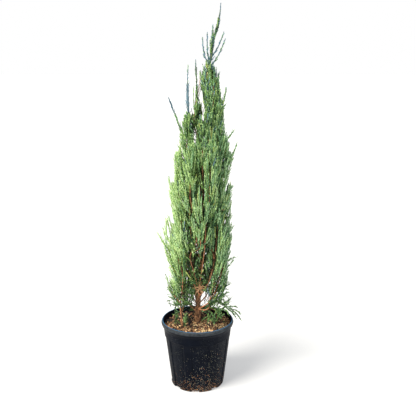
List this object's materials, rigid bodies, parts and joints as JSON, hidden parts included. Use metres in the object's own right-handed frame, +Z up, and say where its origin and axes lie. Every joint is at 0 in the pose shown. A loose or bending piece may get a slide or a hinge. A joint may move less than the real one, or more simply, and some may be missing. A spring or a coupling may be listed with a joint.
{
  "type": "eastern red cedar in a nursery pot",
  "caption": "Slim upright young eastern red cedar, blue-green scale foliage in flame-shaped plumes, in a round black nursery pot with bark mulch.",
  "frame": {"origin": "middle of the pot's flat underside, where it stands on the ground", "axes": "+Z up along the pot's axis, -Y towards the front as pictured, +X to the right"},
  "size_m": [0.337, 0.301, 1.534],
  "materials": {
    "bark": "matte",
    "foliage": "matte",
    "tip_foliage": "matte",
    "pot_plastic": "satin",
    "potting_mix": "matte"
  },
  "bodies": {
    "root": {"bough_back": "bark", "bough_back_left": "bark", "bough_back_right": "bark", "bough_front": "bark", "bough_front_left": "bark", "bough_left": "bark", "bough_low_left": "bark", "bough_low_right": "bark", "bough_right": "bark", "horn_high_right": "foliage", "horn_right": "foliage", "horn_top_right": "foliage", "mass_high_1": "foliage", "mass_high_2": "foliage", "mass_high_3": "foliage", "mass_high_4": "foliage", "mass_high_5": "foliage", "mass_leader": "tip_foliage", "mass_low_1": "foliage", "mass_low_2": "foliage", "mass_low_3": "foliage", "mass_low_4": "foliage", "mass_low_5": "foliage", "mass_low_6": "foliage", "mass_low_7": "foliage", "mass_middle_1": "foliage", "mass_middle_2": "foliage", "mass_middle_3": "foliage", "mass_middle_4": "foliage", "mass_middle_5": "foliage", "mass_middle_6": "foliage", "mass_skirt_1": "foliage", "mass_skirt_2": "foliage", "mass_skirt_3": "foliage", "mass_skirt_4": "foliage", "mass_skirt_5": "foliage", "mass_skirt_6": "foliage", "mass_skirt_7": "foliage", "mass_top_1": "foliage", "mass_top_2": "foliage", "mass_upper_1": "foliage", "mass_upper_2": "foliage", "mass_upper_3": "foliage", "mass_upper_4": "foliage", "pot": "pot_plastic", "potting_mix": "potting_mix", "shoot_far_left": "tip_foliage", "shoot_left_short": "tip_foliage", "shoot_left_tall": "tip_foliage", "shoot_middle": "tip_foliage", "shoot_near_left": "tip_foliage", "shoot_right_short": "tip_foliage", "shoot_right_tall": "tip_foliage", "spray_low_left": "foliage", "spray_low_right": "foliage", "trunk": "bark", "wisp_high_left": "foliage", "wisp_left": "foliage", "wisp_left_upright": "foliage"}
  },
  "joints": []
}
